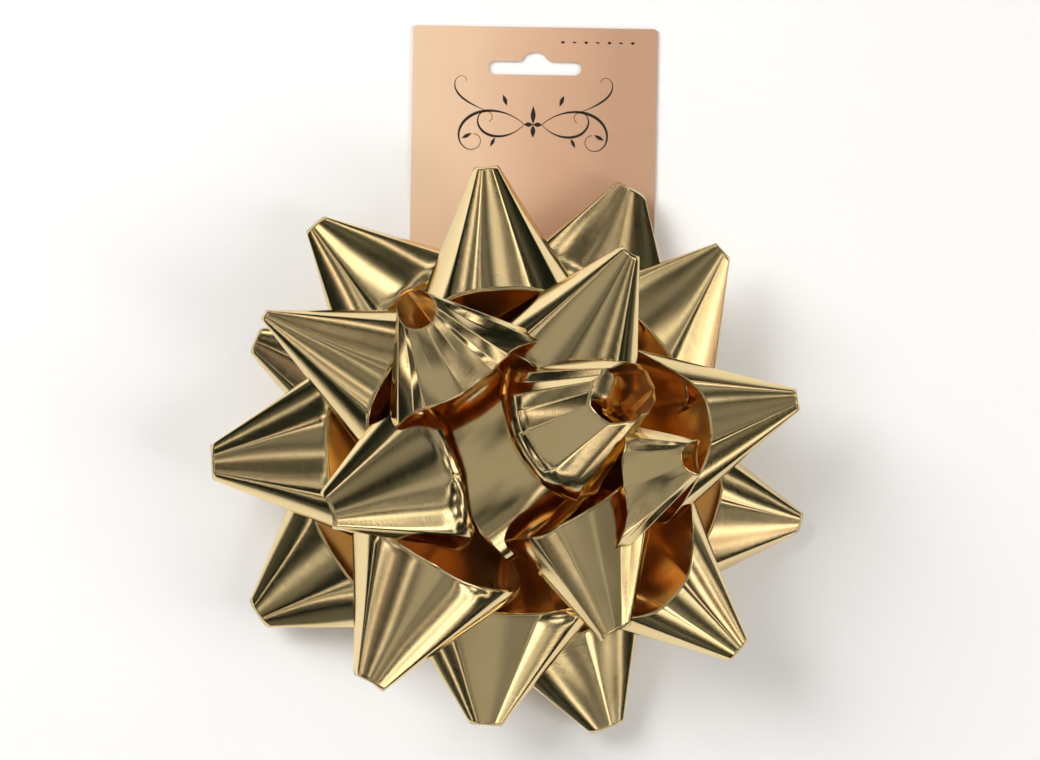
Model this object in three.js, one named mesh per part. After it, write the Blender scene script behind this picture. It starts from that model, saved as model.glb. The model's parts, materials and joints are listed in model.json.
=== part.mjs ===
// Pre-made star gift bow on its hang card, in millimetres, +Z up.
// The origin is the foot of the bow's pin axis on the back face of the card. +Y runs from the bow
// towards the euro slot, and +Z runs out of the card through the middle of the bow.
// The ribbon is one pierced length on the real bow. Here each pointed loop is its own thin solid.

import * as THREE from 'three';

// ---- driving dimensions ----

const CARD = { width: 84, height: 190, aboveBow: 144, shift: 8.5, tilt: -1, thick: 0.6, corner: 1.2 };
const SLOT = { width: 32, height: 4.6, humpWidth: 9, humpHeight: 3.3, below: 14.1 };
const LINER = { width: 42, height: 42, tab: 9, thick: 0.3, corner: 3 };
const PAD = { radius: 18, thick: 1.6 };
const DISC = { radius: 22, thick: 0.8 };
const PIN = { radius: 1.5, headRadius: 5, headThick: 1.2, holeGap: 0.3 };
const WASHER = { radius: 5, thick: 0.4 };
const CORE = { radius: 9, thick: 13.2 };
const FINISH = { radius: 12, width: 21, thick: 0.4, turn: 36, back: 1 };

const GAP = 0.3;          // clearance between pieces that touch
const FILM = 0.3;         // thickness of a ribbon loop
const PITCH = 0.62;       // height of one ribbon turn in the stack on the pin
const ROOT_HEIGHT = 0.9;  // half-height of a loop where it leaves the core
const AROUND = 20;        // steps round a loop
const ALONG = 6;          // steps from a loop's tip edge to its rim

// ---- levels along the pin, from the back of the card up ----

const linerBase = CARD.thick + GAP;
const padBase = linerBase + LINER.thick + GAP;
const washerBase = padBase + PAD.thick + GAP;
const discBase = washerBase + WASHER.thick + GAP;
const coreBase = discBase + DISC.thick + GAP;
const coreTop = coreBase + CORE.thick;
const headBase = coreTop + GAP;

// Star loops from the bottom of the stack to the top. azimuth and rise are in degrees, and reach
// runs from the core's axis to the tip's edge. spread and lift are the half-width and the half-height that
// a loop gains per millimetre from its tip, rim is how far its upper edge lies from the tip, and
// sector is the half-angle that the loop may fill where the loops crowd round the core.
const STAR_LOOPS = [
  { azimuth: 157, rise: 1, reach: 93, spread: 0.47, lift: 0.15, rim: 40, sector: 17 },
  { azimuth: 65, rise: 1, reach: 99, spread: 0.50, lift: 0.22, rim: 42, sector: 30 },
  { azimuth: -14, rise: 1, reach: 104, spread: 0.50, lift: 0.30, rim: 42, sector: 30 },
  { azimuth: -70, rise: 1, reach: 103, spread: 0.50, lift: 0.24, rim: 42, sector: 30 },
  { azimuth: -145, rise: 1, reach: 101, spread: 0.50, lift: 0.22, rim: 42, sector: 30 },
  { azimuth: 130, rise: 5, reach: 102, spread: 0.50, lift: 0.27, rim: 42, sector: 29 },
  { azimuth: -175, rise: 14, reach: 102, spread: 0.50, lift: 0.28, rim: 42, sector: 30 },
  { azimuth: 42, rise: 13, reach: 101, spread: 0.50, lift: 0.24, rim: 42, sector: 30 },
  { azimuth: -94, rise: 14, reach: 97, spread: 0.50, lift: 0.24, rim: 40, sector: 28 },
  { azimuth: 94, rise: 17, reach: 99, spread: 0.49, lift: 0.39, rim: 42, sector: 24 },
  { azimuth: -41, rise: 17, reach: 109, spread: 0.48, lift: 0.36, rim: 44, sector: 23 },
  { azimuth: 10, rise: 24, reach: 106, spread: 0.50, lift: 0.35, rim: 42, sector: 22 },
  { azimuth: -119, rise: 26, reach: 100, spread: 0.50, lift: 0.37, rim: 42, sector: 30 },
  { azimuth: 151, rise: 25, reach: 101, spread: 0.50, lift: 0.45, rim: 42, sector: 28 },
  { azimuth: 57, rise: 36, reach: 94, spread: 0.48, lift: 0.42, rim: 40, sector: 22 },
  { azimuth: -62, rise: 40, reach: 93, spread: 0.50, lift: 0.36, rim: 40, sector: 18 },
  { azimuth: -160, rise: 46, reach: 92, spread: 0.47, lift: 0.37, rim: 40, sector: 27 },
  { azimuth: -4, rise: 48, reach: 92, spread: 0.56, lift: 0.40, rim: 24, sector: 14 },
  { azimuth: 122, rise: 54, reach: 91, spread: 0.48, lift: 0.35, rim: 40, sector: 17 },
  { azimuth: 27, rise: 66, reach: 83, spread: 0.46, lift: 0.33, rim: 40, sector: 17, tip: 14 },
];
const TIP_OPENING = 6;    // how far a tip edge stops short of its cone's point, unless the loop has its own
const TIP_SLANT = 0.9;    // how much further the tip edge is cut back below the loop
const ROOT_LIMIT = 3.2;   // half-width that a loop keeps at the core

// ---- materials ----

const COLOURS = {
  film: { color: 0xa6946e, roughness: 0.2, metalness: 1 },
  board: { color: 0xe3bd96, roughness: 0.45, metalness: 0.1 },
  paper: { color: 0xf4efe2, roughness: 0.6, metalness: 0 },
  foam: { color: 0xf2f0ea, roughness: 0.9, metalness: 0 },
  greyBoard: { color: 0xb9b2a4, roughness: 0.85, metalness: 0 },
  steel: { color: 0xc8c8c8, roughness: 0.35, metalness: 1 },
};

const bow = new THREE.Group();

function addMesh(name, geometry, look) {
  const mesh = new THREE.Mesh(geometry, new THREE.MeshStandardMaterial(COLOURS[look]));
  mesh.name = name;
  bow.add(mesh);
  return mesh;
}

const radians = THREE.MathUtils.degToRad;

// ---- flat pieces ----

function roundedRectangle(width, height, corner) {
  const x = width / 2;
  const y = height / 2;
  const shape = new THREE.Shape();
  shape.moveTo(-x + corner, -y);
  shape.lineTo(x - corner, -y);
  shape.absarc(x - corner, -y + corner, corner, -Math.PI / 2, 0);
  shape.absarc(x - corner, y - corner, corner, 0, Math.PI / 2);
  shape.absarc(-x + corner, y - corner, corner, Math.PI / 2, Math.PI);
  shape.absarc(-x + corner, -y + corner, corner, Math.PI, Math.PI * 1.5);
  return shape;
}

function euroSlot(top) {
  const end = SLOT.height / 2;
  const x = SLOT.width / 2 - end;
  const hump = SLOT.humpWidth / 2;
  const low = top - SLOT.below - end;
  const high = low + SLOT.height;
  const hole = new THREE.Path();
  hole.moveTo(-x, low);
  hole.lineTo(x, low);
  hole.absarc(x, low + end, end, -Math.PI / 2, Math.PI / 2);
  hole.lineTo(hump + 1, high);
  hole.quadraticCurveTo(hump, high, hump - 0.8, high + SLOT.humpHeight * 0.6);
  hole.quadraticCurveTo(0, high + SLOT.humpHeight * 1.4, -hump + 0.8, high + SLOT.humpHeight * 0.6);
  hole.quadraticCurveTo(-hump, high, -hump - 1, high);
  hole.lineTo(-x, high);
  hole.absarc(-x, low + end, end, Math.PI / 2, Math.PI * 1.5);
  return hole;
}

function plate(shape, thick, base) {
  const geometry = new THREE.ExtrudeGeometry(shape, {
    depth: thick, bevelEnabled: false, curveSegments: 6,
  });
  geometry.translate(0, 0, base);
  return geometry;
}

const cardShape = roundedRectangle(CARD.width, CARD.height, CARD.corner);
cardShape.holes.push(euroSlot(CARD.height / 2));
const card = addMesh('hang_card', plate(cardShape, CARD.thick, 0), 'board');
card.position.set(CARD.shift, CARD.aboveBow - CARD.height / 2, 0);
card.rotation.z = radians(CARD.tilt);

const linerShape = roundedRectangle(LINER.width, LINER.height + LINER.tab, LINER.corner);
const liner = addMesh('release_liner', plate(linerShape, LINER.thick, linerBase), 'paper');
liner.position.y = -LINER.tab / 2;

// ---- turned pieces on the pin ----

function ring(inner, outer, base, thick, segments = 32) {
  const shape = new THREE.Shape().absarc(0, 0, outer, 0, Math.PI * 2);
  if (inner > 0) {
    shape.holes.push(new THREE.Path().absarc(0, 0, inner, 0, Math.PI * 2));
  }
  const geometry = new THREE.ExtrudeGeometry(shape, {
    depth: thick, bevelEnabled: false, curveSegments: segments,
  });
  geometry.translate(0, 0, base);
  return geometry;
}

const hole = PIN.radius + PIN.holeGap;
addMesh('foam_pad', ring(0, PAD.radius, padBase, PAD.thick), 'foam');
addMesh('backing_disc', ring(hole, DISC.radius, discBase, DISC.thick), 'greyBoard');
addMesh('pin_washer', ring(hole, WASHER.radius, washerBase, WASHER.thick, 20), 'steel');
addMesh('ribbon_core', ring(hole, CORE.radius, coreBase, CORE.thick, 24), 'film');

function pinProfile() {
  const tail = washerBase + 0.1;
  return [
    new THREE.Vector2(0, tail),
    new THREE.Vector2(PIN.radius, tail),
    new THREE.Vector2(PIN.radius, headBase),
    new THREE.Vector2(PIN.headRadius, headBase),
    new THREE.Vector2(PIN.headRadius - 0.6, headBase + PIN.headThick * 0.7),
    new THREE.Vector2(PIN.headRadius - 2, headBase + PIN.headThick),
    new THREE.Vector2(0, headBase + PIN.headThick),
  ];
}

const pin = addMesh('centre_pin', new THREE.LatheGeometry(pinProfile(), 20), 'steel');
pin.rotation.x = Math.PI / 2;

// ---- ribbon loops ----

// The lesser of two lengths, with the corner between them rounded over about one blend length.
function softMin(a, b, blend) {
  const mix = Math.max(blend - Math.abs(a - b), 0) / blend;
  return Math.min(a, b) - (mix * mix * blend) / 4;
}

// A point on a star loop's middle surface. turn is 0 on top of the loop and +-pi at its seam below,
// fromTip is the distance from the cone's point, and the loop's own axes are x outwards from the
// core, y across and z up.
function loopPoint(loop, turn, fromTip) {
  const fromCore = loop.length - fromTip;
  const halfWidth = softMin(
    loop.spread * fromTip, fromCore * Math.tan(radians(loop.sector)) + ROOT_LIMIT, 8);
  const halfHeight = softMin(loop.lift * fromTip, fromCore * loop.lift + ROOT_HEIGHT, 12);
  return new THREE.Vector3(
    fromCore, halfWidth * Math.sin(turn), halfHeight * (1 + Math.cos(turn)));
}

// How far the loop's tip edge and its rim lie from the cone's point at one turn.
function loopEdges(loop, turn) {
  const below = (1 - Math.cos(turn)) / 2;
  const rim = loop.rim + (loop.length - loop.rim) * below ** 1.4;
  return [loop.tip * (1 + TIP_SLANT * below), rim];
}

// A closed thin-walled ring made of a grid of points: columns run round the loop and close on
// themselves, rows run from the tip edge to the rim.
function ringShell(columns, thick) {
  const count = columns.length;
  const rows = columns[0].length;
  const normals = columns.map((column, i) => column.map((point, j) => {
    const next = columns[(i + 1) % count][j];
    const last = columns[(i + count - 1) % count][j];
    const inner = column[Math.max(j - 1, 0)];
    const outer = column[Math.min(j + 1, rows - 1)];
    const across = next.clone().sub(last);
    return across.cross(outer.clone().sub(inner)).normalize();
  }));
  const positions = [];
  const pushSide = (side) => columns.forEach((column, i) => column.forEach((point, j) => {
    const moved = point.clone().addScaledVector(normals[i][j], side * thick / 2);
    positions.push(moved.x, moved.y, moved.z);
  }));
  pushSide(1);
  pushSide(-1);
  const at = (side, i, j) => side * count * rows + (i % count) * rows + j;
  const faces = [];
  const quad = (a, b, c, d) => faces.push(a, b, c, a, c, d);
  for (let i = 0; i < count; i += 1) {
    for (let j = 0; j < rows - 1; j += 1) {
      quad(at(0, i, j), at(0, i + 1, j), at(0, i + 1, j + 1), at(0, i, j + 1));
      quad(at(1, i, j), at(1, i, j + 1), at(1, i + 1, j + 1), at(1, i + 1, j));
    }
    quad(at(0, i + 1, 0), at(0, i, 0), at(1, i, 0), at(1, i + 1, 0));
    const end = rows - 1;
    quad(at(0, i, end), at(0, i + 1, end), at(1, i + 1, end), at(1, i, end));
  }
  const geometry = new THREE.BufferGeometry();
  geometry.setAttribute('position', new THREE.Float32BufferAttribute(positions, 3));
  geometry.setIndex(faces);
  geometry.computeVertexNormals();
  return geometry;
}

function starLoopGeometry(spec) {
  const tip = spec.tip ?? TIP_OPENING;
  const loop = { ...spec, tip, length: spec.reach + tip - CORE.radius - GAP };
  const columns = [];
  for (let i = 0; i < AROUND; i += 1) {
    const turn = (i / AROUND) * Math.PI * 2;
    const [tip, rim] = loopEdges(loop, turn);
    const column = [];
    for (let j = 0; j <= ALONG; j += 1) {
      column.push(loopPoint(loop, turn, THREE.MathUtils.lerp(tip, rim, j / ALONG)));
    }
    columns.push(column);
  }
  return ringShell(columns, FILM);
}

STAR_LOOPS.forEach((spec, index) => {
  const number = String(index + 1).padStart(2, '0');
  const mesh = addMesh(`star_loop_${number}`, starLoopGeometry(spec), 'film');
  const level = coreBase + PITCH * (index + 0.5);
  const azimuth = radians(spec.azimuth);
  const rootRadius = CORE.radius + GAP;
  mesh.rotation.order = 'ZYX';
  mesh.rotation.set(0, -radians(spec.rise), azimuth);
  mesh.position.set(rootRadius * Math.cos(azimuth), rootRadius * Math.sin(azimuth), level);
});

// The finishing loop is a short round tube of ribbon that stands on the pin's head.
function finishLoopGeometry() {
  const columns = [];
  for (let i = 0; i < AROUND + 4; i += 1) {
    const turn = -(i / (AROUND + 4)) * Math.PI * 2;
    const column = [];
    for (let j = 0; j <= 2; j += 1) {
      const across = (j / 2 - 0.5) * FINISH.width;
      column.push(new THREE.Vector3(
        across, FINISH.radius * Math.sin(turn), FINISH.radius * (1 - Math.cos(turn))));
    }
    columns.push(column);
  }
  return ringShell(columns, FINISH.thick);
}

const finish = addMesh('centre_loop', finishLoopGeometry(), 'film');
finish.rotation.z = radians(FINISH.turn);
finish.position.set(
  -FINISH.back * Math.cos(radians(FINISH.turn)),
  -FINISH.back * Math.sin(radians(FINISH.turn)),
  headBase + PIN.headThick + GAP + FINISH.thick / 2);

export default bow;
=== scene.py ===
import json
import math

import bmesh
import bpy
import numpy as np
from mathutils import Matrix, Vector


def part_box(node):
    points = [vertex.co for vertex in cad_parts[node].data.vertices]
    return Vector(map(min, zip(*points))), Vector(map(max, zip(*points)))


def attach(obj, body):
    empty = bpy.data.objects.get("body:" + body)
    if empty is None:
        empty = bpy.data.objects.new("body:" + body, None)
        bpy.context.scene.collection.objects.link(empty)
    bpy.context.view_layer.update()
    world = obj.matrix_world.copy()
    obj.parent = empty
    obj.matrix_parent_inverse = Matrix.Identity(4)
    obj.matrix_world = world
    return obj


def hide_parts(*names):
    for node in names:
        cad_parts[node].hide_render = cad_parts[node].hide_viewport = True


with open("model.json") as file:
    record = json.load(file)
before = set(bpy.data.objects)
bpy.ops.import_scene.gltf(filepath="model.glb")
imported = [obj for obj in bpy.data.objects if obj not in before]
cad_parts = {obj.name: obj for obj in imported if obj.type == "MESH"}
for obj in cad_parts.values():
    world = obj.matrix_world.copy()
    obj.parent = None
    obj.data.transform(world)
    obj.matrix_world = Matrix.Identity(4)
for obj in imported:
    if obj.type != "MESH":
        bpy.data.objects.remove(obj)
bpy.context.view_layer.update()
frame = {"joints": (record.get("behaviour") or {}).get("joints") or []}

MM = 0.001

# ---- camera: straight down on the face of the bow, +Y up in the picture ----

CAMERA_HEIGHT = 1.1       # metres above the back of the card
VIEW_WIDTH = 0.3578       # metres of the floor that the picture's width covers
VIEW_CENTRE = (0.0048, 0.0227)
SENSOR = 36.0


def add_camera():
    data = bpy.data.cameras.new("camera")
    data.sensor_width = SENSOR
    data.lens = SENSOR * CAMERA_HEIGHT / VIEW_WIDTH
    data.dof.use_dof = False
    camera = bpy.data.objects.new("camera", data)
    camera.location = (*VIEW_CENTRE, CAMERA_HEIGHT)
    bpy.context.scene.collection.objects.link(camera)
    bpy.context.scene.camera = camera


add_camera()

# ---- the ribbon loops ----

FILM = 0.06               # mm, drawn thickness of the ribbon
ROWS = 34                 # steps from the tip edge to the rim
CORE_RADIUS = 9.3         # mm, pin axis to a loop's root
ROOT_LIMIT = 4.0          # mm, half-width that a loop keeps at the core
ROOT_SPREAD = 0.62        # half-width that its neighbours leave it per millimetre from the core
ROOT_HEIGHT = 0.9         # mm, half-height that it keeps there
UNDERCUT = 0.9            # how much further the tip edge is cut back under the loop
FALL = 1.4                # how soon the rim runs down to the core at the loop's sides: less is sooner
FACET_STEPS = (0.03, 0.12, 0.25, 0.4, 0.6, 0.75, 0.88, 0.97)    # where points lie between two folds
SOFTNESS = 5.0            # mm over which a loop's opening gives way to its limit

# azimuth and rise in degrees, lengths in mm. left and right are the half-widths that the loop gains
# on its two sides per millimetre from its point, lift the same for its height, tip how far the cut
# edge stops short of the point, open and under how much further it is cut back on top and below, and
# rim where the upper edge lies, with fall in place of FALL where it is given. skew moves the loop's
# body sideways from its tip, creases is how many folds fan out from it, and pleat how deep they go.
STAR_LOOPS = [
    dict(azimuth=157, rise=1, reach=93, left=0.50, right=0.50, lift=0.20, tip=9, rim=42, creases=7),
    dict(azimuth=65, rise=1, reach=98, left=0.50, right=0.80, lift=0.22, tip=8, rim=45, creases=6),
    dict(azimuth=-14, rise=1, reach=104, left=0.46, right=0.84, lift=0.28, tip=5, rim=35, creases=7),
    dict(azimuth=-70, rise=1, reach=102, left=0.58, right=0.62, lift=0.24, tip=10, rim=45, creases=6),
    dict(azimuth=-146, rise=1, reach=102, left=0.66, right=0.66, lift=0.24, tip=8, rim=42, creases=7),
    dict(azimuth=131, rise=5, reach=100, left=0.50, right=0.68, lift=0.27, tip=7, rim=44, creases=7),
    dict(azimuth=-177, rise=14, reach=102, left=0.48, right=0.66, lift=0.28, tip=10, rim=46, creases=8),
    dict(azimuth=43, rise=13, reach=101, left=0.52, right=0.90, lift=0.26, tip=5, rim=39, creases=5),
    dict(azimuth=-94, rise=14, reach=96, left=0.74, right=0.74, lift=0.28, tip=7, rim=42, creases=7),
    dict(azimuth=94, rise=17, reach=99, left=0.52, right=0.60, lift=0.40, tip=7, rim=42, creases=8),
    dict(azimuth=-41, rise=17, reach=108, left=0.58, right=0.50, lift=0.38, tip=8, rim=33, creases=8),
    dict(azimuth=10, rise=24, reach=107, left=0.48, right=0.66, lift=0.36, tip=6, rim=31, creases=7),
    dict(azimuth=-120, rise=26, reach=100, left=0.50, right=0.64, lift=0.38, tip=10, rim=46, creases=7),
    dict(azimuth=151, rise=25, reach=100, left=0.48, right=0.60, lift=0.42, tip=3, rim=39, creases=8),
    dict(azimuth=58, rise=36, reach=94, left=0.56, right=0.66, lift=0.42, tip=5, rim=42, creases=9),
    dict(azimuth=-61, rise=40, reach=91, left=0.78, right=0.40, lift=0.40, tip=8, rim=38, creases=15,
         pleat=0.05, skew=0.12),
    dict(azimuth=-161, rise=46, reach=88, left=0.56, right=0.68, lift=0.40, tip=9, rim=44, creases=9),
    dict(azimuth=2, rise=48, reach=94, left=0.46, right=0.76, lift=0.42, tip=7, rim=26, creases=18,
         pleat=0.12, skew=-0.2, open=0.6, fall=2.2),
    dict(azimuth=122, rise=54, reach=94, left=0.66, right=0.68, lift=0.40, tip=7, rim=33, creases=22,
         pleat=0.16, open=0.9, under=-0.3, fall=2.4),
    dict(azimuth=26, rise=54, reach=84, left=0.52, right=0.54, lift=0.44, tip=15, rim=59, creases=22,
         pleat=0.16, open=0.6, under=0.1),
]


def soft_min(a, b, blend):
    mix = np.maximum(blend - np.abs(a - b), 0) / blend
    return np.minimum(a, b) - mix * mix * blend / 4


def smooth_step(value, low, high):
    share = np.clip((value - low) / (high - low), 0, 1)
    return share * share * (3 - 2 * share)


def folded_section(spec, seed):
    """Turns round a loop with, for each, its two neighbouring folds, its share and their depths."""
    rng = np.random.default_rng(seed)
    count = spec["creases"]
    steps = rng.uniform(0.5, 1.6, count)
    edges = np.concatenate([[0], np.cumsum(steps)]) / steps.sum() * 2 * math.pi
    edges += rng.uniform(0, 2 * math.pi)
    depth = spec.get("pleat", 0.0) * rng.uniform(0.3, 1.0, count) * (np.arange(count) % 2)
    share = np.tile(FACET_STEPS, count)
    cell = np.repeat(np.arange(count), len(FACET_STEPS))
    first, second = edges[cell], edges[cell + 1]
    return first + (second - first) * share, first, second, share, depth[cell], depth[(cell + 1) % count]


def loop_points(spec, seed):
    """The loop's middle surface in its own axes, as an array of turns x rows x 3."""
    turn, first, second, share, depth_a, depth_b = folded_section(spec, seed)
    length = spec["reach"] + spec["tip"] - CORE_RADIUS
    below = (1 - np.cos(turn)) / 2
    under = spec.get("under", UNDERCUT)
    tip_edge = spec["tip"] * (1 + under * below ** 3 + spec.get("open", 0.0) * (1 - below) ** 2)
    rim_edge = spec["rim"] + (length - spec["rim"]) * below ** spec.get("fall", FALL)
    along = np.linspace(0, 1, ROWS)
    from_tip = tip_edge[:, None] + (rim_edge - tip_edge)[:, None] * along[None, :]
    from_core = length - from_tip
    # the section of the film: an ellipse that is partly flat between its folds, most of all near the tip
    round_y, round_z = np.sin(turn), 1 + np.cos(turn)
    deep = smooth_step(from_tip, 5, 22) * (1 - 0.75 * smooth_step(along[None, :], 0.35, 1.0))
    size_a, size_b = (1 - depth[:, None] * deep for depth in (depth_a, depth_b))
    part_a, part_b = (1 - share)[:, None], share[:, None]
    fold_y = part_a * np.sin(first)[:, None] * size_a + part_b * np.sin(second)[:, None] * size_b
    fold_z = 1 + part_a * np.cos(first)[:, None] * size_a + part_b * np.cos(second)[:, None] * size_b
    flat = (0.85 if "pleat" in spec else 0.55) * (1 - 0.5 * smooth_step(from_tip, 20, 50))
    section_y = round_y[:, None] * (1 - flat) + fold_y * flat
    section_z = round_z[:, None] * (1 - flat) + fold_z * flat
    # the loop's two sides open at their own rates until the neighbouring loops hold them in
    side = np.where(section_y > 0, spec["left"], spec["right"])
    limit = from_core * ROOT_SPREAD + ROOT_LIMIT
    half_width = soft_min(side * from_tip, limit, SOFTNESS)
    half_height = soft_min(spec["lift"] * from_tip, from_core * spec["lift"] + ROOT_HEIGHT, SOFTNESS)
    sway = spec.get("skew", 0.0) * from_tip * (1 - smooth_step(from_tip, spec["rim"], spec["rim"] + 42))
    return np.stack([from_core, half_width * section_y + sway, half_height * section_z], axis=2)


def place(points, spec, root):
    """Loop axes to the frame: raised by the loop's rise, turned to its azimuth, set at its root."""
    rise = math.radians(spec["rise"])
    azimuth = math.radians(spec["azimuth"])
    x, y, z = (points[..., k] * MM for k in range(3))
    out = x * math.cos(rise) - z * math.sin(rise)
    up = x * math.sin(rise) + z * math.cos(rise)
    return np.stack([
        root[0] + out * math.cos(azimuth) - y * math.sin(azimuth),
        root[1] + out * math.sin(azimuth) + y * math.cos(azimuth),
        root[2] + up,
    ], axis=2)


def grid_normals(points):
    around = np.roll(points, -1, axis=0) - np.roll(points, 1, axis=0)
    along = np.gradient(points, axis=1)
    normal = np.cross(around, along)
    return normal / np.linalg.norm(normal, axis=2, keepdims=True)


def film_ring(name, points):
    """A closed band of film: outer face in slot 0, inner face in slot 1, cut edges in slot 2."""
    count, rows = points.shape[:2]
    normal = grid_normals(points)
    half = FILM * MM / 2
    verts = np.concatenate([(points + normal * half).reshape(-1, 3), (points - normal * half).reshape(-1, 3)])
    index = np.arange(count * rows).reshape(count, rows)
    after = np.roll(index, -1, axis=0)
    shift = count * rows
    outer = np.stack([index[:, :-1], after[:, :-1], after[:, 1:], index[:, 1:]], axis=2).reshape(-1, 4)
    inner = outer[:, ::-1] + shift
    tip = np.stack([after[:, 0], index[:, 0], index[:, 0] + shift, after[:, 0] + shift], axis=1)
    rim = np.stack([index[:, -1], after[:, -1], after[:, -1] + shift, index[:, -1] + shift], axis=1)
    faces = np.concatenate([outer, inner, tip, rim])
    mesh = bpy.data.meshes.new(name)
    mesh.from_pydata(verts.tolist(), [], faces.tolist())
    slots = np.concatenate([
        np.zeros(len(outer)), np.ones(len(inner)), np.full(len(tip) + len(rim), 2)]).astype(int)
    mesh.polygons.foreach_set("material_index", slots)
    mesh.polygons.foreach_set("use_smooth", slots < 2)
    around = np.concatenate([[0], np.cumsum(np.linalg.norm(np.diff(points[:, -1], axis=0), axis=1))])
    down = np.concatenate([[0], np.cumsum(np.linalg.norm(np.diff(points[0], axis=0), axis=1))])
    cell = np.tile(np.stack(np.meshgrid(around, down, indexing="ij"), axis=2).reshape(-1, 2), (2, 1))
    layer = mesh.uv_layers.new(name="film")
    corners = np.zeros(len(mesh.loops), dtype=int)
    mesh.loops.foreach_get("vertex_index", corners)
    layer.data.foreach_set("uv", cell[corners].ravel())
    mesh.update()
    piece = bpy.data.objects.new(name, mesh)
    bpy.context.scene.collection.objects.link(piece)
    return piece


# ---- materials ----

def new_material(name):
    material = bpy.data.materials.new(name)
    material.use_nodes = True
    tree = material.node_tree
    return material, tree.nodes, tree.links, tree.nodes["Principled BSDF"]


def film_material(name, low, high, roughness, grain, metallic=1.0):
    """Metallised film: cloudy colour between two tones, brushed across its length, with scuffs."""
    material, nodes, links, shader = new_material(name)
    shader.inputs["Metallic"].default_value = metallic
    place_node = nodes.new("ShaderNodeTexCoord")
    cloud = nodes.new("ShaderNodeTexNoise")
    cloud.inputs["Scale"].default_value = 28
    cloud.inputs["Detail"].default_value = 3
    links.new(place_node.outputs["Object"], cloud.inputs["Vector"])
    ramp = nodes.new("ShaderNodeValToRGB")
    fill_ramp(ramp, [(0.3, low), (0.7, high)])
    links.new(cloud.outputs["Fac"], ramp.inputs["Fac"])
    links.new(ramp.outputs["Color"], shader.inputs["Base Color"])
    stretch = nodes.new("ShaderNodeMapping")
    stretch.inputs["Scale"].default_value = (160, 2600, 1)
    links.new(place_node.outputs["UV"], stretch.inputs["Vector"])
    brush = nodes.new("ShaderNodeTexNoise")
    brush.inputs["Scale"].default_value = 1
    brush.inputs["Detail"].default_value = 3
    links.new(stretch.outputs["Vector"], brush.inputs["Vector"])
    spread = nodes.new("ShaderNodeMapRange")
    spread.inputs["To Min"].default_value = roughness * 0.6
    spread.inputs["To Max"].default_value = roughness * 1.5
    links.new(brush.outputs["Fac"], spread.inputs["Value"])
    links.new(spread.outputs["Result"], shader.inputs["Roughness"])
    bump = nodes.new("ShaderNodeBump")
    bump.inputs["Strength"].default_value = grain
    bump.inputs["Distance"].default_value = 0.00003
    links.new(brush.outputs["Fac"], bump.inputs["Height"])
    links.new(bump.outputs["Normal"], shader.inputs["Normal"])
    return material


def fill_ramp(ramp, stops):
    first, last = ramp.color_ramp.elements[0], ramp.color_ramp.elements[1]
    first.position, first.color = stops[0][0], (*stops[0][1], 1)
    last.position, last.color = stops[-1][0], (*stops[-1][1], 1)
    for position, colour in stops[1:-1]:
        ramp.color_ramp.elements.new(position).color = (*colour, 1)


CHAMPAGNE = film_material("champagne_film", (0.80, 0.62, 0.31), (0.88, 0.70, 0.38), 0.11, 0.25)
COPPER = film_material("copper_film", (0.92, 0.44, 0.10), (0.98, 0.53, 0.16), 0.15, 0.04, 0.88)
FILM_EDGE = film_material("film_edge", (0.26, 0.19, 0.10), (0.34, 0.25, 0.13), 0.45, 0.05)


def add_film(piece):
    """The three finishes of a band of film, in film_ring's order of slots."""
    for material in (CHAMPAGNE, COPPER, FILM_EDGE):
        piece.data.materials.append(material)


def build_star_loops():
    for number, spec in enumerate(STAR_LOOPS, start=1):
        node = f"star_loop_{number:02d}"
        joint = next(j for j in frame["joints"] if j["child"] == node)
        points = place(loop_points(spec, number), spec, joint["pos_m"])
        piece = film_ring(f"ribbon_loop_{number:02d}", points)
        add_film(piece)
        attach(piece, node)
        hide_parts(node)


build_star_loops()

# ---- centre loop and core ----

# turn in degrees and lengths in mm. egg is how much wider the loop is near its top than near its foot
FINISH = dict(turn=40, centre=(-2.5, -3.5), half_width=27.0, half_height=18.0, length=39.0, base=23.0,
              egg=0.3)
SWELL = 0.05              # how much wider the loop is halfway along than at its two rims
SLACK = 0.012             # how far its film waves out of the even round


def build_centre_loop():
    """The round finishing loop: one smooth turn of ribbon lying on its side on the pin's head."""
    steps, rows = 96, 40
    turn = np.linspace(0, 2 * math.pi, steps, endpoint=False)
    along = np.linspace(-0.5, 0.5, rows) * FINISH["length"]
    swell = 1 + SWELL * np.cos(along / FINISH["length"] * math.pi)[None, :]
    slack = 1 + SLACK * np.sin(3 * turn + 0.8)[:, None] * (1 + along[None, :] / FINISH["length"])
    wide = FINISH["half_width"] * (1 - FINISH["egg"] * np.cos(turn))
    across = (wide * np.sin(turn))[:, None] * swell * slack
    up = FINISH["base"] + FINISH["half_height"] * (1 - np.cos(turn)[:, None] * swell * slack)
    up += SWELL * FINISH["half_height"]
    azimuth = math.radians(FINISH["turn"])
    x = FINISH["centre"][0] + along[None, :] * math.cos(azimuth) - across * math.sin(azimuth)
    y = FINISH["centre"][1] + along[None, :] * math.sin(azimuth) + across * math.cos(azimuth)
    piece = film_ring("ribbon_centre_loop", np.stack([x, y, up], axis=2) * MM)
    add_film(piece)
    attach(piece, "bow_base")
    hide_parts("centre_loop")


build_centre_loop()


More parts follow.
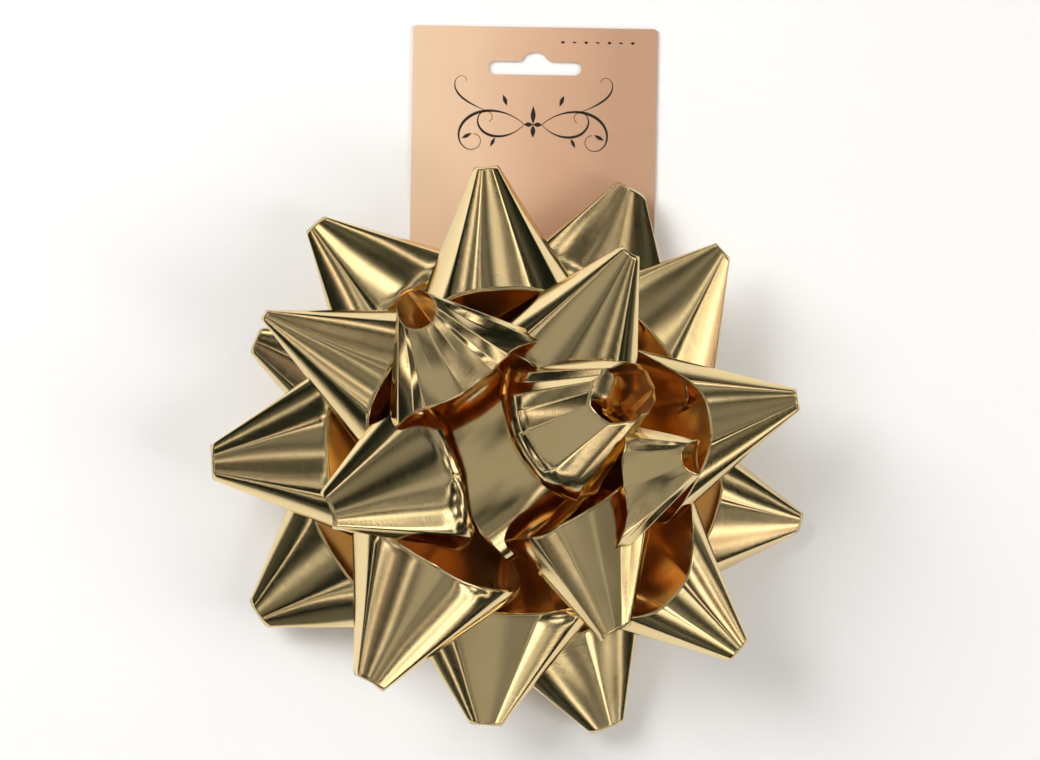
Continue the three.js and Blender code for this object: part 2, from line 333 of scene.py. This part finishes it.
def lathe(name, profile, steps, wobble=0.0, seed=1):
    """A solid of revolution round the pin's axis from (radius, height) points in millimetres."""
    rng = np.random.default_rng(seed)
    phase = rng.uniform(0, 2 * math.pi, len(profile))
    mesh = bpy.data.meshes.new(name)
    verts, faces = [], []
    for k, (radius, height) in enumerate(profile):
        for i in range(steps):
            angle = 2 * math.pi * i / steps
            size = radius * (1 + wobble * math.sin(3 * angle + phase[k]))
            verts.append((size * math.cos(angle) * MM, size * math.sin(angle) * MM, height * MM))
    for k in range(len(profile) - 1):
        for i in range(steps):
            j = (i + 1) % steps
            faces.append((k * steps + i, k * steps + j, (k + 1) * steps + j, (k + 1) * steps + i))
    faces.append(tuple(reversed(range(steps))))
    faces.append(tuple((len(profile) - 1) * steps + i for i in range(steps)))
    mesh.from_pydata(verts, [], faces)
    mesh.update()
    piece = bpy.data.objects.new(name, mesh)
    bpy.context.scene.collection.objects.link(piece)
    return piece


def build_core():
    """The pierced centres of the ribbon turns, one thin plate for each, pressed on the pin."""
    low, high = (corner[2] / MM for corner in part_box("ribbon_core"))
    turns = len(STAR_LOOPS) + 1
    pitch = (high - low) / turns
    profile = []
    for k in range(turns):
        base = low + k * pitch
        outer = 8.9 if k % 2 else 8.4
        profile += [(outer - 0.5, base + 0.02), (outer, base + 0.12), (outer, base + pitch - 0.14),
                    (outer - 0.5, base + pitch - 0.02)]
    piece = lathe("ribbon_core_turns", profile, 72, wobble=0.012, seed=5)
    piece.data.materials.append(CHAMPAGNE)
    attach(piece, "bow_base")
    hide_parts("ribbon_core")


build_core()

# ---- hang card: its board and the generic ornament printed on it ----

CARD_TILT = math.radians(-1)
CARD_CENTRE = (8.5, 49.0)     # mm, the point that the card is turned about
CARD_FACE = 0.6               # mm, height of the printed face
INK_HEIGHT = 0.03             # mm that the ink stands proud
ORNAMENT_CENTRE = (8.2, 110.5)
DOTS = dict(count=7, left=17.25, up=139.0, step=4.0, length=1.5)
# each pen stroke's start, heading, length, bend, curl at its end and pen width, right of the middle
SCROLLS = (
    ((3, 0), 0.75, 44, -0.055, -0.42, 1.0),
    ((3, 0), -0.85, 30, 0.075, 0.60, 0.9),
    ((16, 4.5), 0.35, 22, 0.02, 0.75, 0.7),
)
# each leaf's place, heading, length and width, right of the middle
LEAVES = (
    (9, 6.3, 1.2, 4.2, 1.3),
    (21, -3.2, -0.5, 4.0, 1.2),
    (13, -4.6, -1.1, 3.6, 1.1),
)


def card_material():
    """Satin rose-gold board, its colour running from lighter peach on the left to darker rose on the right,
    fine fibre grain.
    """
    material, nodes, links, shader = new_material("rose_gold_board")
    coord = nodes.new("ShaderNodeTexCoord")
    split = nodes.new("ShaderNodeSeparateXYZ")
    links.new(coord.outputs["Object"], split.inputs["Vector"])
    across = nodes.new("ShaderNodeMapRange")
    across.inputs["From Min"].default_value = -0.034
    across.inputs["From Max"].default_value = 0.051
    links.new(split.outputs["X"], across.inputs["Value"])
    wave = nodes.new("ShaderNodeTexNoise")
    wave.inputs["Scale"].default_value = 14
    wave.inputs["Detail"].default_value = 2
    links.new(coord.outputs["Object"], wave.inputs["Vector"])
    drift = nodes.new("ShaderNodeMath")
    drift.operation = "MULTIPLY_ADD"
    drift.inputs[1].default_value = 0.35
    links.new(wave.outputs["Fac"], drift.inputs[0])
    links.new(across.outputs["Result"], drift.inputs[2])
    ramp = nodes.new("ShaderNodeValToRGB")
    stops = [(0.10, (0.86, 0.62, 0.42)), (0.45, (0.84, 0.57, 0.38)), (0.80, (0.68, 0.41, 0.26)),
             (1.0, (0.57, 0.34, 0.22))]
    fill_ramp(ramp, stops)
    links.new(drift.outputs["Value"], ramp.inputs["Fac"])
    links.new(ramp.outputs["Color"], shader.inputs["Base Color"])
    fibre = nodes.new("ShaderNodeTexNoise")
    fibre.inputs["Scale"].default_value = 900
    fibre.inputs["Detail"].default_value = 4
    links.new(coord.outputs["Object"], fibre.inputs["Vector"])
    rough = nodes.new("ShaderNodeMapRange")
    rough.inputs["To Min"].default_value = 0.38
    rough.inputs["To Max"].default_value = 0.56
    links.new(fibre.outputs["Fac"], rough.inputs["Value"])
    links.new(rough.outputs["Result"], shader.inputs["Roughness"])
    bump = nodes.new("ShaderNodeBump")
    bump.inputs["Strength"].default_value = 0.25
    bump.inputs["Distance"].default_value = 0.00004
    links.new(fibre.outputs["Fac"], bump.inputs["Height"])
    links.new(bump.outputs["Normal"], shader.inputs["Normal"])
    shader.inputs["Metallic"].default_value = 0.12
    return material


def plain_material(name, colour, roughness, grain_scale, grain, metallic=0.0):
    """Even colour with a little cloudiness, and a fine surface grain in roughness and bump."""
    material, nodes, links, shader = new_material(name)
    shader.inputs["Metallic"].default_value = metallic
    coord = nodes.new("ShaderNodeTexCoord")
    noise = nodes.new("ShaderNodeTexNoise")
    noise.inputs["Scale"].default_value = grain_scale
    noise.inputs["Detail"].default_value = 4
    links.new(coord.outputs["Object"], noise.inputs["Vector"])
    ramp = nodes.new("ShaderNodeValToRGB")
    dark = tuple(0.86 * c for c in colour)
    fill_ramp(ramp, [(0.3, dark), (0.7, colour)])
    links.new(noise.outputs["Fac"], ramp.inputs["Fac"])
    links.new(ramp.outputs["Color"], shader.inputs["Base Color"])
    rough = nodes.new("ShaderNodeMapRange")
    rough.inputs["To Min"].default_value = roughness * 0.85
    rough.inputs["To Max"].default_value = min(1.0, roughness * 1.15)
    links.new(noise.outputs["Fac"], rough.inputs["Value"])
    links.new(rough.outputs["Result"], shader.inputs["Roughness"])
    bump = nodes.new("ShaderNodeBump")
    bump.inputs["Strength"].default_value = grain
    bump.inputs["Distance"].default_value = 0.0001
    links.new(noise.outputs["Fac"], bump.inputs["Height"])
    links.new(bump.outputs["Normal"], shader.inputs["Normal"])
    return material


def dress(node, material):
    """Give a carried-over CAD node its finished material."""
    for slot in bpy.data.objects[node].material_slots:
        slot.material = material


def card_point(x, y):
    """A point of the card's own plane, measured from the bow's axis, turned with the card."""
    dx, dy = x - CARD_CENTRE[0], y - CARD_CENTRE[1]
    cos, sin = math.cos(CARD_TILT), math.sin(CARD_TILT)
    return (CARD_CENTRE[0] + dx * cos - dy * sin, CARD_CENTRE[1] + dx * sin + dy * cos)


def ink_stroke(bm, points, widths):
    """One pen stroke: a flat strip of ink as wide as the pen is pressed at each point."""
    rows = []
    for k, (x, y) in enumerate(points):
        before, after = points[max(k - 1, 0)], points[min(k + 1, len(points) - 1)]
        dx, dy = after[0] - before[0], after[1] - before[1]
        size = math.hypot(dx, dy)
        side = (-dy / size * widths[k] / 2, dx / size * widths[k] / 2)
        row = []
        for sign in (1, -1):
            px, py = card_point(x + sign * side[0], y + sign * side[1])
            for height in (CARD_FACE, CARD_FACE + INK_HEIGHT):
                row.append(bm.verts.new((px * MM, py * MM, height * MM)))
        rows.append(row)
    for (a, b, c, d), (e, f, g, h) in zip(rows, rows[1:]):
        for face in ((b, f, h, d), (a, c, g, e), (a, e, f, b), (c, d, h, g)):
            bm.faces.new(face)
    bm.faces.new(rows[0][:2] + rows[0][:1:-1])
    bm.faces.new((rows[-1][0], rows[-1][2], rows[-1][3], rows[-1][1]))


def scroll(start, heading, length, bend, curl, pen, steps=70):
    """A pen curve that bends evenly at first and winds up into a curl at its end."""
    x, y = start
    step = length / steps
    points, widths = [], []
    for k in range(steps + 1):
        share = k / steps
        points.append((x, y))
        widths.append(pen * (0.25 + 0.75 * math.sin(math.pi * min(1, share * 1.15)) ** 2))
        heading += (bend + curl * share ** 3) * step
        x += step * math.cos(heading)
        y += step * math.sin(heading)
    return points, widths


def leaf(bm, x, y, heading, length, width):
    steps = 14
    points, widths = [], []
    for k in range(steps + 1):
        share = k / steps
        points.append((x + length * share * math.cos(heading), y + length * share * math.sin(heading)))
        widths.append(0.06 + width * math.sin(math.pi * share) ** 1.3)
    ink_stroke(bm, points, widths)


def build_ornament():
    """A symmetric scroll with leaves in the middle of the card and a row of dots near its corner."""
    bm = bmesh.new()
    middle_x, middle_y = ORNAMENT_CENTRE
    for side in (1, -1):
        for stroke in SCROLLS:
            points, widths = scroll(*stroke)
            ink_stroke(bm, [(middle_x + side * x, middle_y + y) for x, y in points], widths)
        for x, y, heading, length, width in LEAVES:
            angle = heading if side > 0 else math.pi - heading
            leaf(bm, middle_x + side * x, middle_y + y, angle, length, width)
        leaf(bm, middle_x, middle_y, 0 if side > 0 else math.pi, 3.2, 1.5)
    leaf(bm, middle_x, middle_y, math.pi / 2, 6.5, 1.6)
    leaf(bm, middle_x, middle_y, -math.pi / 2, 4.5, 1.6)
    for k in range(DOTS["count"]):
        width = 0.9 if k % 2 == 0 else 0.55
        leaf(bm, DOTS["left"] + k * DOTS["step"], DOTS["up"], 0, DOTS["length"], width)
    mesh = bpy.data.meshes.new("card_ornament")
    bm.to_mesh(mesh)
    bm.free()
    piece = bpy.data.objects.new("card_ornament", mesh)
    bpy.context.scene.collection.objects.link(piece)
    piece.data.materials.append(plain_material("print_ink", (0.02, 0.017, 0.016), 0.45, 700, 0.1))
    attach(piece, "hang_card")


dress("hang_card", card_material())
build_ornament()

# ---- foot of the bow: liner, foam pad, backing disc, washer and pin ----

dress("release_liner", plain_material("release_paper", (0.90, 0.86, 0.76), 0.5, 600, 0.15))
dress("backing_disc", plain_material("grey_board", (0.46, 0.42, 0.36), 0.85, 800, 0.5))
dress("pin_washer", plain_material("plated_washer", (0.62, 0.61, 0.60), 0.32, 1500, 0.15, 1.0))
dress("centre_pin", plain_material("plated_rivet", (0.66, 0.65, 0.63), 0.28, 1500, 0.15, 1.0))


def build_foam_pad():
    """Closed-cell foam with a soft rounded rim, squeezed a little between its two adhesive faces."""
    low, high = (corner[2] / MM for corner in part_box("foam_pad"))
    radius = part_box("foam_pad")[1][0] / MM
    thick = high - low
    rim = []
    for k in range(13):
        angle = -math.pi / 2 + math.pi * k / 12
        rim.append((radius - 0.35 + 0.35 * math.cos(angle), (low + high) / 2 + thick / 2 * math.sin(angle)))
    profile = [(0.5, low), (radius * 0.5, low)] + rim + [(radius * 0.5, high), (0.5, high)]
    piece = lathe("foam_pad_soft", profile, 96, wobble=0.004, seed=9)
    for polygon in piece.data.polygons:
        polygon.use_smooth = True
    piece.data.materials.append(plain_material("white_foam", (0.86, 0.85, 0.81), 0.9, 420, 0.9))
    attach(piece, "bow_base")
    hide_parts("foam_pad")


build_foam_pad()

# ---- light, world and floor ----

def add_area(name, location, target, size, power, colour=(1, 1, 1)):
    data = bpy.data.lights.new(name, "AREA")
    data.shape = "RECTANGLE"
    data.size, data.size_y = size
    data.energy = power
    data.color = colour
    light = bpy.data.objects.new(name, data)
    light.location = location
    aim = Vector(target) - Vector(location)
    light.rotation_euler = aim.to_track_quat("-Z", "Y").to_euler()
    light.visible_glossy = False      # the film mirrors the studio's ring of lights instead
    bpy.context.scene.collection.objects.link(light)


def add_world():
    """A studio seen by a mirror: pale overhead, a ring of lights below it, then a dark room."""
    world = bpy.data.worlds.new("studio")
    world.use_nodes = True
    nodes, links = world.node_tree.nodes, world.node_tree.links
    background = nodes["Background"]
    coord = nodes.new("ShaderNodeTexCoord")
    split = nodes.new("ShaderNodeSeparateXYZ")
    links.new(coord.outputs["Generated"], split.inputs["Vector"])
    warp = nodes.new("ShaderNodeTexNoise")
    warp.inputs["Scale"].default_value = 2.3
    warp.inputs["Detail"].default_value = 2.0
    links.new(coord.outputs["Generated"], warp.inputs["Vector"])
    shift = nodes.new("ShaderNodeMath")
    shift.operation = "MULTIPLY_ADD"
    shift.inputs[1].default_value = 1.5
    links.new(warp.outputs["Fac"], shift.inputs[0])
    links.new(split.outputs["Z"], shift.inputs[2])
    height = nodes.new("ShaderNodeMath")
    height.operation = "SUBTRACT"
    height.inputs[1].default_value = 0.75
    links.new(shift.outputs["Value"], height.inputs[0])
    ramp = nodes.new("ShaderNodeValToRGB")
    fill_ramp(ramp, [
        (0.00, (0.12, 0.12, 0.11)), (0.06, (0.08, 0.08, 0.07)), (0.08, (0.005, 0.009, 0.007)),
        (0.25, (0.008, 0.014, 0.011)), (0.26, (0.28, 0.28, 0.26)), (0.275, (0.28, 0.28, 0.26)),
        (0.285, (0.006, 0.011, 0.008)), (0.42, (0.008, 0.014, 0.010)), (0.44, (0.20, 0.20, 0.18)),
        (0.463, (0.85, 0.44, 0.41)), (0.485, (2.6, 2.5, 2.3)), (0.525, (2.6, 2.5, 2.3)),
        (0.545, (0.26, 0.26, 0.24)), (0.56, (0.18, 0.18, 0.165)), (0.57, (0.005, 0.009, 0.007)),
        (0.69, (0.006, 0.011, 0.008)), (0.70, (0.16, 0.16, 0.145)), (0.737, (0.17, 0.17, 0.155)),
        (0.747, (0.75, 0.38, 0.36)),
        (0.755, (2.0, 1.94, 1.8)), (0.77, (2.0, 1.94, 1.8)), (0.785, (0.17, 0.17, 0.155)),
        (0.825, (0.18, 0.18, 0.165)), (0.832, (0.008, 0.012, 0.009)), (0.862, (0.008, 0.012, 0.009)),
        (0.87, (0.20, 0.20, 0.185)), (0.93, (0.25, 0.245, 0.23)), (0.97, (0.29, 0.285, 0.265)),
        (1.0, (0.40, 0.39, 0.365)),
    ])
    links.new(height.outputs["Value"], ramp.inputs["Fac"])
    links.new(ramp.outputs["Color"], background.inputs["Color"])
    background.inputs["Strength"].default_value = 1.0
    bpy.context.scene.world = world


FLOOR_HALF = 4.1          # m, half the floor's side
FLOOR_LEVEL = -0.0005     # m, just under the back of the card


def add_floor():
    mesh = bpy.data.meshes.new("floor")
    signs = ((-1, -1), (1, -1), (1, 1), (-1, 1))
    corners = [(FLOOR_HALF * x, FLOOR_HALF * y, FLOOR_LEVEL) for x, y in signs]
    mesh.from_pydata(corners, [], [(0, 1, 2, 3)])
    floor = bpy.data.objects.new("floor", mesh)
    bpy.context.scene.collection.objects.link(floor)
    material, nodes, links, shader = new_material("pale_floor")
    shader.inputs["Base Color"].default_value = (0.92, 0.92, 0.92, 1)
    shader.inputs["Roughness"].default_value = 0.9
    mesh.materials.append(material)


def add_backdrop():
    """A plain pale wall round the floor, which hides the studio's ring of lights from low views."""
    steps, radius, top = 96, 4.0, 5.0
    mesh = bpy.data.meshes.new("backdrop")
    verts = []
    for k in range(steps):
        angle = 2 * math.pi * k / steps
        verts += [(radius * math.cos(angle), radius * math.sin(angle), z) for z in (FLOOR_LEVEL, top)]
    faces = [(2 * k, 2 * k + 1, (2 * k + 3) % (2 * steps), (2 * k + 2) % (2 * steps)) for k in range(steps)]
    mesh.from_pydata(verts, [], faces)
    wall = bpy.data.objects.new("backdrop", mesh)
    bpy.context.scene.collection.objects.link(wall)
    material, nodes, links, shader = new_material("pale_backdrop")
    shader.inputs["Base Color"].default_value = (0, 0, 0, 1)
    shader.inputs["Specular IOR Level"].default_value = 0.0
    shader.inputs["Emission Color"].default_value = (0.72, 0.71, 0.69, 1)
    shader.inputs["Emission Strength"].default_value = 1.0
    mesh.materials.append(material)
    wall.visible_glossy = wall.visible_diffuse = wall.visible_shadow = False


add_world()
add_floor()
add_backdrop()
add_area("key", (-0.7, 0.5, 0.9), (0, 0, 0.03), (0.5, 0.9), 12)
add_area("fill", (0.9, -0.3, 0.8), (0, 0, 0.03), (0.3, 1.0), 6)
bpy.context.scene.view_settings.view_transform = "Standard"
